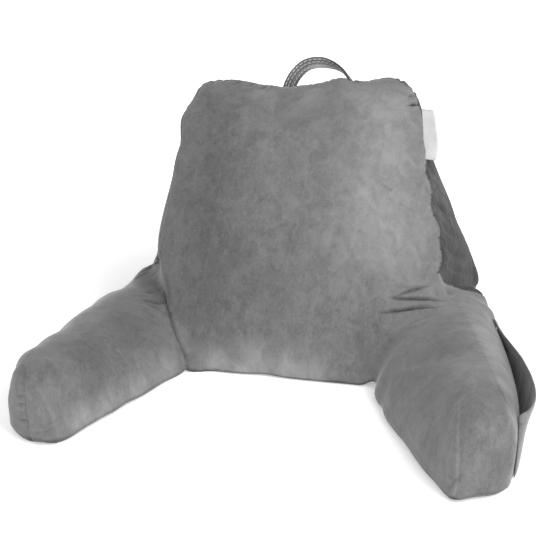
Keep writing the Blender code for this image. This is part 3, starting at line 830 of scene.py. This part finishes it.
POCKET_RIMS = {
    "right": (
        (0.3727, 0.0821, 0.0926), (0.3807, 0.0419, 0.0952), (0.3892, 0.0020, 0.0986),
        (0.3979, -0.0379, 0.1020), (0.4101, -0.0995, 0.1074), (0.4201, -0.1639, 0.1124),
        (0.4242, -0.2189, 0.1152), (0.4189, -0.2621, 0.1151), (0.4077, -0.2827, 0.1127),
        (0.3967, -0.2887, 0.1104),
    ),
    "left": (
        (-0.3829, 0.0821, 0.0782), (-0.3942, 0.0425, 0.0822), (-0.4030, 0.0026, 0.0850),
        (-0.4103, -0.0376, 0.0872), (-0.4185, -0.0971, 0.0900), (-0.4231, -0.1567, 0.0926),
        (-0.4228, -0.2070, 0.0941), (-0.4178, -0.2461, 0.0947), (-0.4118, -0.2646, 0.0940),
        (-0.4069, -0.2710, 0.0932),
    ),
}
# How far each pocket's rim leans, and the place behind which it doesn't.
POCKET_LEANS = {"right": ((0.0, 0.008, 0.007), 0.01), "left": ((0.013, 0.0, -0.010), 0.20)}
HEM_DEPTH = 0.0165
HEM_PLUMP = 0.0004
HEM_GROOVE = 0.0007
LEAN_DOWN_TO = 0.075
LEAN_FADE = 0.12
HEM_STITCH_WIDTH = 0.0016
# Soft waves in the pockets' cloth: where each lies along the rim, and how wide it is.
POCKET_SLACK = ((0.10, 0.012), (0.34, 0.018), (0.55, 0.010), (0.72, 0.014), (0.90, 0.009))
POCKET_SLACK_DEPTH = 0.0011
POCKET_SLACK_FADE = 0.03
POCKET_LENGTH = 0.38
POCKET_EASING = 30
POCKET_LIFT = 0.0008


def cloth_move(points, solid_skin, cloth_skin):
    """How far the cloth under each point moved from the solid's skin."""
    moves = []
    for point in points:
        on_solid = solid_skin.find_nearest(Vector(point))[0]
        on_cloth = cloth_skin.find_nearest(on_solid)[0]
        moves.append(np.array(on_cloth - on_solid))
    return np.array(moves)


cover_skin = skin_of(cover.data)
pocket_cloth, share, patches, strokes, pile = velour("velour_pocket", 0.49)
share = share - 0.22 * pocket_cloth.kept("hem_stitch")
pocket_cloth.set(
    Base_Color=pocket_cloth.between(VELOUR_DARK, VELOUR_LIGHT, share),
    Sheen_Weight=0.35,
    Normal=pocket_cloth.bump(0.5 * strokes + 0.35 * patches + 0.15 * pile, 0.0014, 0.5),
)

for word, rim in POCKET_RIMS.items():
    pocket_mesh = merged_copy("pocket_" + word, 0.0)
    patch = bmesh.new()
    patch.from_mesh(pocket_mesh)
    bmesh.ops.join_triangles(
        patch,
        faces=patch.faces,
        angle_face_threshold=math.radians(35),
        angle_shape_threshold=math.radians(60),
    )
    patch.to_mesh(pocket_mesh)
    patch.free()
    pocket = new_piece("side_pocket_" + word, pocket_mesh)
    softer = pocket.modifiers.new("Soft cloth", "SUBSURF")
    softer.levels = softer.render_levels = 2
    finished_mesh(pocket)
    points = points_of(pocket.data)
    outward = normals_of(pocket.data)
    along, away = beside(points, smooth_line(rim))
    hem = np.clip((HEM_DEPTH - away) / 0.002, 0, 1)
    stitch = np.exp(-(((away - HEM_DEPTH) / HEM_STITCH_WIDTH) ** 2))
    push = HEM_PLUMP * hem - HEM_GROOVE * stitch
    shift = np.zeros_like(points)
    for at, width in POCKET_SLACK:
        wave = np.exp(-(((along / along.max() - at) * POCKET_LENGTH / width) ** 2))
        wave_in = np.sign(points[:, 0]) * POCKET_SLACK_DEPTH * wave
        shift[:, 0] -= wave_in * np.clip(away / POCKET_SLACK_FADE, 0, 1)
    solid_skin = skin_of(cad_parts["arm_" + word].data)
    shift += averaged(cloth_move(points, solid_skin, cover_skin), pocket.data, POCKET_EASING)
    lean, lean_start = POCKET_LEANS[word]
    lean_share = np.clip(1.0 - away / LEAN_DOWN_TO, 0, 1)
    lean_share *= np.clip((lean_start - points[:, 1]) / LEAN_FADE, 0, 1)
    shift += np.array(lean) * lean_share[:, None]
    points = points + shift + outward * push[:, None]
    points[:, 2] = np.maximum(points[:, 2], POCKET_LIFT)
    set_points(pocket.data, points)
    pocket.data.shade_smooth()
    keep_on_points(pocket.data, "hem_stitch", stitch)
    pocket.data.materials.clear()
    pocket.data.materials.append(pocket_cloth.material)
    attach(pocket, "root")
    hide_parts("pocket_" + word)

# ---- the carry handle
# A strip of the velour folded to a flat strap, run over with five rows of stitching, and caught at
# both ends in the rear top seam. It stands in a loose loop and leans back.

# Its middle line from one end to the other, and by how many degrees it is turned there.
STRAP_LINE = (
    (-0.0546, 0.3085, 0.4140, -50), (-0.0516, 0.3085, 0.4420, -50), (-0.0395, 0.3115, 0.4680, -52),
    (-0.0175, 0.3155, 0.4880, -56), (0.0140, 0.3175, 0.4930, -52), (0.0465, 0.3165, 0.4830, -26),
    (0.0672, 0.3135, 0.4630, -5), (0.0785, 0.3095, 0.4400, 2), (0.0835, 0.3085, 0.4140, 6),
)
STRAP_WIDTH = 0.030
STRAP_THICKNESS = 0.0046
STRAP_CORNER = 0.6
STRAP_RIBS = 5
STRAP_RIB_HEIGHT = 0.0007
STRAP_AROUND = 56
STRAP_ALONG = 120
STRAP_STEPS = 160
STITCH_LENGTH = 0.0085
# The strap's lightest colour, above the cover's, so that its painted highlight can reach it.
STRAP_LIGHT = (0.400, 0.400, 0.403, 1.0)


def along_rows(rows, at):
    """A row between the table's rows, on a smooth curve through them."""
    first = min(int(at), len(rows) - 2)
    t = at - first
    p0, p1 = np.array(rows[max(first - 1, 0)], float), np.array(rows[first], float)
    p2, p3 = np.array(rows[first + 1], float), np.array(rows[min(first + 2, len(rows) - 1)], float)
    return p1 + 0.5 * t * (p2 - p0 + t * (2 * p0 - 5 * p1 + 4 * p2 - p3 + t * (3 * p1 - p0 - 3 * p2 + p3)))


def rolled_grid(around, along, place):
    """A grid rolled into a tube, its points set by place(u, v), closed at its sides and ends."""
    roll = bmesh.new()
    bmesh.ops.create_grid(roll, x_segments=around, y_segments=along, size=1.0)
    for vert in roll.verts:
        vert.co = place((vert.co.x + 1) / 2, (vert.co.y + 1) / 2)
    bmesh.ops.remove_doubles(roll, verts=roll.verts, dist=0.000001)
    ends = [edge for edge in roll.edges if edge.is_boundary]
    bmesh.ops.holes_fill(roll, edges=ends, sides=0)
    bmesh.ops.recalc_face_normals(roll, faces=roll.faces)
    mesh = bpy.data.meshes.new("rolled")
    roll.to_mesh(mesh)
    roll.free()
    return mesh


def strap_place(u, v):
    at = v * (len(STRAP_LINE) - 1)
    here = Vector(along_rows(STRAP_LINE, at)[:3])
    ahead = Vector(along_rows(STRAP_LINE, min(at + 0.05, len(STRAP_LINE) - 1))[:3])
    behind = Vector(along_rows(STRAP_LINE, max(at - 0.05, 0))[:3])
    tangent = (ahead - behind).normalized()
    away = tangent.cross(Vector((0.0, 1.0, 0.0))).normalized()
    level = away.cross(tangent)
    turn = math.radians(along_rows(STRAP_LINE, at)[3])
    wide = level * math.cos(turn) + away * math.sin(turn)
    thick = tangent.cross(wide).normalized()
    angle = 2 * math.pi * u
    across = math.copysign(abs(math.cos(angle)) ** STRAP_CORNER, math.cos(angle))
    rise = math.copysign(abs(math.sin(angle)) ** STRAP_CORNER, math.sin(angle))
    rib = abs(math.sin(math.pi * STRAP_RIBS * (across + 1) / 2)) * STRAP_RIB_HEIGHT * rise
    return here + wide * (across * STRAP_WIDTH / 2) + thick * (rise * STRAP_THICKNESS / 2 + rib)


strap = new_piece("carry_handle", rolled_grid(STRAP_AROUND, STRAP_ALONG, strap_place))
points = points_of(strap.data)
row_places = np.linspace(0, len(STRAP_LINE) - 1, STRAP_STEPS)
strap_rows = np.array([along_rows(STRAP_LINE, at)[:3] for at in row_places])
along, away = beside(points, strap_rows)
off = points - read_off(along, np.linspace(0, along.max(), STRAP_STEPS), strap_rows)
across = np.sign(off[:, 1]) * away / STRAP_WIDTH + 0.5
keep_on_points(strap.data, "strap_along", along)
keep_on_points(strap.data, "strap_across", across)

# Painted light and shade: the loop's crown is made lighter towards its rear edge, where it catches the
# light, and that edge darker where it rises, as in shade.
share_along = along / along.max()
crown = np.exp(-(((share_along - 0.50) / 0.13) ** 2))
left_half = np.clip((0.58 - share_along) / 0.1, 0, 1)
rising = np.exp(-(((share_along - 0.22) / 0.17) ** 2))
rear_edge = np.clip((across - 0.84) / 0.06, 0, 1)
lit = 1.5 * across**2 * crown + 0.14 * left_half
shaded = 0.9 * rear_edge * rising
keep_on_points(strap.data, "strap_painted_light", lit - shaded)
strap.data.shade_smooth()

strap_cloth, share, _, strokes, pile = velour("velour_strap", 0.26)
over_rows = strap_cloth.kept("strap_across") * STRAP_RIBS
from_row = (over_rows.put_through("FRACT") - 0.5).put_through("ABSOLUTE")
at_stitch = strap_cloth.kept("strap_along") * (1 / STITCH_LENGTH) + 0.37 * over_rows.put_through("FLOOR")
stitch_row = from_row < 0.17
thread = stitch_row * (at_stitch.put_through("FRACT") < 0.66)
# Painted shade in the grooves between the stitched rows.
valley_shade = from_row > 0.36
share = 0.54 * share + 0.60 * thread - 0.13 * valley_shade + 0.7 * strap_cloth.kept("strap_painted_light")
strap_cloth.set(
    Base_Color=strap_cloth.between(VELOUR_DARK, STRAP_LIGHT, share),
    Sheen_Weight=0.25,
    Normal=strap_cloth.bump(0.5 * strokes + 0.2 * pile - 0.6 * stitch_row + 0.5 * thread, 0.0010, 0.5),
)
strap.data.materials.append(strap_cloth.material)
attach(strap, "root")
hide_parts("handle")

# ---- the side label
# A bare white satin tape, folded in half and caught in the right front seam, where it stands out
# and curls a little.

TAPE_SEAM = (
    (0.2310, 0.1801, 0.3520), (0.2295, 0.1915, 0.3678), (0.2278, 0.2029, 0.3836),
    (0.2257, 0.2143, 0.3994), (0.2232, 0.2257, 0.4152), (0.2203, 0.2371, 0.4300),
)
TAPE_REACH = 0.0124
TAPE_SUNK = 0.010
TAPE_CURL = 0.0060
TAPE_HALF_GAP = 0.0010
TAPE_THICKNESS = 0.0007
TAPE_WAVE = 0.0012
TAPE_FOLD = 0.08
TAPE_TURN = math.radians(20)
TAPE_ALONG = 48
TAPE_AROUND = 64


def tape_place(u, v):
    seam_point = Vector(along_rows(TAPE_SEAM, u * (len(TAPE_SEAM) - 1)))
    out = Vector((math.cos(TAPE_TURN), -math.sin(TAPE_TURN), 0.0))
    aside = Vector((-out.y, out.x, 0.0))
    layer = 2 * v - 1
    fold = min(1.0, math.sqrt(abs(layer) / TAPE_FOLD))
    stands_out = TAPE_REACH + TAPE_CURL * math.sin(math.pi * u**0.75)
    reach = (stands_out + TAPE_SUNK) * (1 - abs(layer)) - TAPE_SUNK
    wave = TAPE_WAVE * math.sin(2.2 * math.pi * u + 0.6) * max(reach, 0.0) / TAPE_REACH
    return seam_point + out * reach + aside * (math.copysign(TAPE_HALF_GAP * fold, layer) + wave)


tape_grid = bmesh.new()
bmesh.ops.create_grid(tape_grid, x_segments=TAPE_ALONG, y_segments=TAPE_AROUND, size=1.0)
tape_run = [(vert.co.x + 1) / 2 for vert in tape_grid.verts]
for vert in tape_grid.verts:
    vert.co = tape_place((vert.co.x + 1) / 2, (vert.co.y + 1) / 2)
tape_mesh = bpy.data.meshes.new("side_label")
tape_grid.to_mesh(tape_mesh)
tape_grid.free()
keep_on_points(tape_mesh, "tape_run", tape_run)
tape = new_piece("side_label", tape_mesh)
body = tape.modifiers.new("Tape", "SOLIDIFY")
body.thickness = TAPE_THICKNESS
body.offset = 0.0
finished_mesh(tape)
tape.data.shade_smooth()

SATIN_DARK = (0.36, 0.36, 0.365, 1.0)
SATIN_LIGHT = (0.52, 0.52, 0.52, 1.0)
SATIN_RIBS = 560.0
SATIN_EDGE = 0.475

satin = Finish("white_satin_tape")
place = satin.node("ShaderNodeTexCoord", {}, {}, output="Object")
run = satin.kept("tape_run")
ribs = (run * SATIN_RIBS).put_through("SINE")
cloudy = satin.noise(place, 60.0, 2.0)
edge = (run - 0.5).put_through("ABSOLUTE") > SATIN_EDGE
shade = 0.5 + 0.9 * (cloudy - 0.5) + 0.1 * ribs - 0.35 * edge
satin.set(
    Base_Color=satin.between(SATIN_DARK, SATIN_LIGHT, shade),
    Roughness=0.55,
    Sheen_Weight=0.1,
    Normal=satin.bump(ribs * 0.5 + 0.6 * edge, 0.0003, 0.6),
)
tape.data.materials.append(satin.material)
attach(tape, "root")
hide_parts("label")

# ---- the floor and the light
# A pale sweep of paper whose painted glow grows brighter away from the pillow and lights it from below,
# under three broad soft boxes and an even white sky.

FLOOR_REACH = 9.0
PAPER_NEAR = 0.35
PAPER_FAR = 1.3
PAPER_GLOW_NEAR = (0.28, 0.28, 0.28, 1.0)
PAPER_GLOW_FAR = (0.95, 0.95, 0.95, 1.0)

floor_grid = bmesh.new()
bmesh.ops.create_grid(floor_grid, x_segments=4, y_segments=4, size=FLOOR_REACH)
floor_mesh = bpy.data.meshes.new("floor")
floor_grid.to_mesh(floor_mesh)
floor_grid.free()
floor = new_piece("floor", floor_mesh)
paper = Finish("pale_paper")
place = paper.node("ShaderNodeTexCoord", {}, {}, output="Object")
from_middle = paper.node("ShaderNodeVectorMath", {"operation": "LENGTH"}, {0: place}, output="Value")
far_off = paper.node(
    "ShaderNodeMapRange",
    {"interpolation_type": "SMOOTHSTEP"},
    {"Value": from_middle, "From Min": PAPER_NEAR, "From Max": PAPER_FAR},
)
# The paper's emission is a painted glow: it keeps the floor white and lights the pillow from below.
paper.set(
    Base_Color=(0.93, 0.93, 0.93, 1.0),
    Roughness=0.9,
    Specular_IOR_Level=0.1,
    Emission_Color=paper.between(PAPER_GLOW_NEAR, PAPER_GLOW_FAR, far_off),
    Emission_Strength=1.0,
)
floor.data.materials.append(paper.material)

SKY_STRENGTH = 0.52
BOX_SIZE = 1.2
BOX_AIM = Vector((0.0, 0.0, 0.15))
# The boxes: where each stands, and its power in watts.
SOFT_BOXES = {
    "key_box": ((1.33, -0.77, 1.44), 36.0),
    "top_box": ((0.59, -0.34, 2.03), 5.0),
    "front_box": ((-0.30, -1.91, 0.67), 18.0),
}

scene.view_settings.view_transform = "Standard"
world = bpy.data.worlds.new("studio")
scene.world = world
world.use_nodes = True
sky = world.node_tree.nodes["Background"]
sky.inputs["Color"].default_value = (1.0, 1.0, 1.0, 1.0)
sky.inputs["Strength"].default_value = SKY_STRENGTH

for name, (place, power) in SOFT_BOXES.items():
    lamp = bpy.data.lights.new(name, "AREA")
    lamp.shape = "SQUARE"
    lamp.size = BOX_SIZE
    lamp.energy = power
    box = bpy.data.objects.new(name, lamp)
    scene.collection.objects.link(box)
    box.location = place
    box.rotation_euler = (BOX_AIM - Vector(place)).to_track_quat("-Z", "Y").to_euler()
